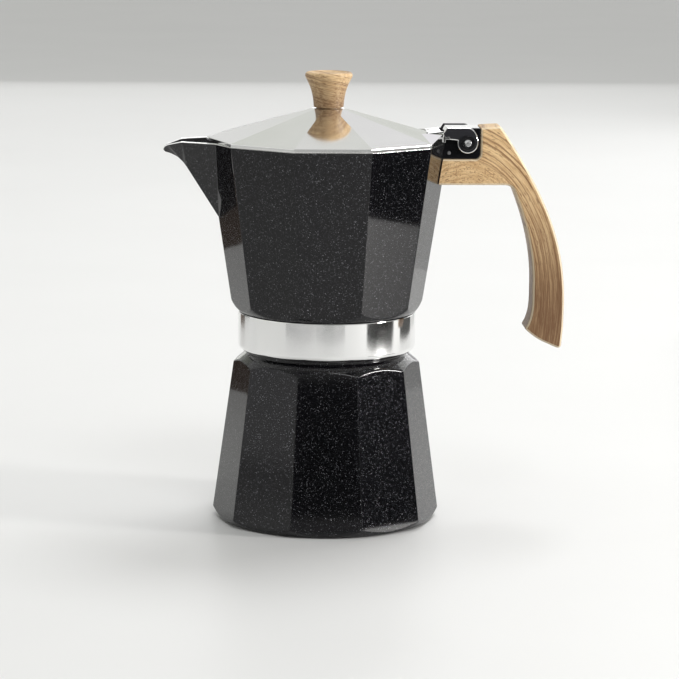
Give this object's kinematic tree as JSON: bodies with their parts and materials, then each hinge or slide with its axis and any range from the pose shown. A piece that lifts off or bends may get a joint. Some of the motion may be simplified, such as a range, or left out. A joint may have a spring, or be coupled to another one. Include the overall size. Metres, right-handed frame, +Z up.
{
  "type": "moka pot",
  "caption": "Ten-sided stove-top moka pot with a screw-on upper chamber, hinged lid, spout, funnel, safety valve, wood-look handle and knob.",
  "frame": {"origin": "centre of the steel disc's underside, the face that the pot stands on", "axes": "+Z up along the pot's axis, +X towards the handle, -X towards the spout, +Y towards the safety valve"},
  "size_m": [0.1831, 0.1078, 0.205],
  "materials": {
    "black_paint": "satin black with a fine metallic sparkle",
    "gloss_black": "gloss black with bright worn edges",
    "polished_aluminium": "polished",
    "spun_aluminium": "spun satin",
    "steel": "turned",
    "brass": "turned",
    "silicone": "matt",
    "fibre_seal": "matt",
    "wood": "satin, light golden brown with darker grain along the bend"
  },
  "bodies": {
    "base": {"boiler": "black_paint", "induction_disc": "steel", "valve_body": "brass", "valve_seal": "fibre_seal", "valve_spring": "steel"},
    "valve": {"valve_pin": "steel"},
    "basket": {"funnel": "spun_aluminium", "funnel_screen": "spun_aluminium"},
    "filter": {"filter_plate": "steel"},
    "seal": {"gasket": "silicone"},
    "upper": {"upper_chamber": "black_paint", "threaded_collar": "polished_aluminium", "coffee_column": "spun_aluminium", "hinge_bracket": "gloss_black", "bracket_rivets": "steel", "hinge_pin": "steel", "handle_grip": "wood", "handle_pins": "steel"},
    "lid": {"lid": "polished_aluminium", "lid_hinge": "gloss_black", "lid_rivets": "steel", "hinge_washers": "gloss_black", "knob": "wood", "knob_screw": "steel", "knob_washer": "steel"}
  },
  "joints": [
    {"name": "upper_lift", "type": "slide", "parent": "base", "child": "filter", "axis": [0, 0, 1], "range_m": [0, 0.16]},
    {"name": "thread_rise", "type": "slide", "parent": "filter", "child": "seal", "axis": [0, 0, 1], "range_m": [0, 0.002]},
    {"name": "unscrew", "type": "hinge", "parent": "seal", "child": "upper", "pos_m": [0, 0, 0.087], "axis": [0, 0, 1], "range_deg": [0, 360]},
    {"name": "lid_hinge", "type": "hinge", "parent": "upper", "child": "lid", "pos_m": [0.0626, 0, 0.174], "axis": [0, 1, 0], "range_deg": [0, 110]},
    {"name": "funnel_lift", "type": "slide", "parent": "base", "child": "basket", "axis": [0, 0, 1], "range_m": [0, 0.096]},
    {"name": "valve_travel", "type": "slide", "parent": "base", "child": "valve", "axis": [0.0314, 0.9995, 0], "range_m": [0, 0.0015], "stiffness_N_per_m": 500, "springref_m": -0.002, "deforming": ["valve_spring"]}
  ],
  "couplings": [
    {"joint": "thread_rise", "follows": "unscrew", "m_per_rad": 0.000318},
    {"joint": "funnel_lift", "follows": "upper_lift", "ratio": 0.6}
  ]
}
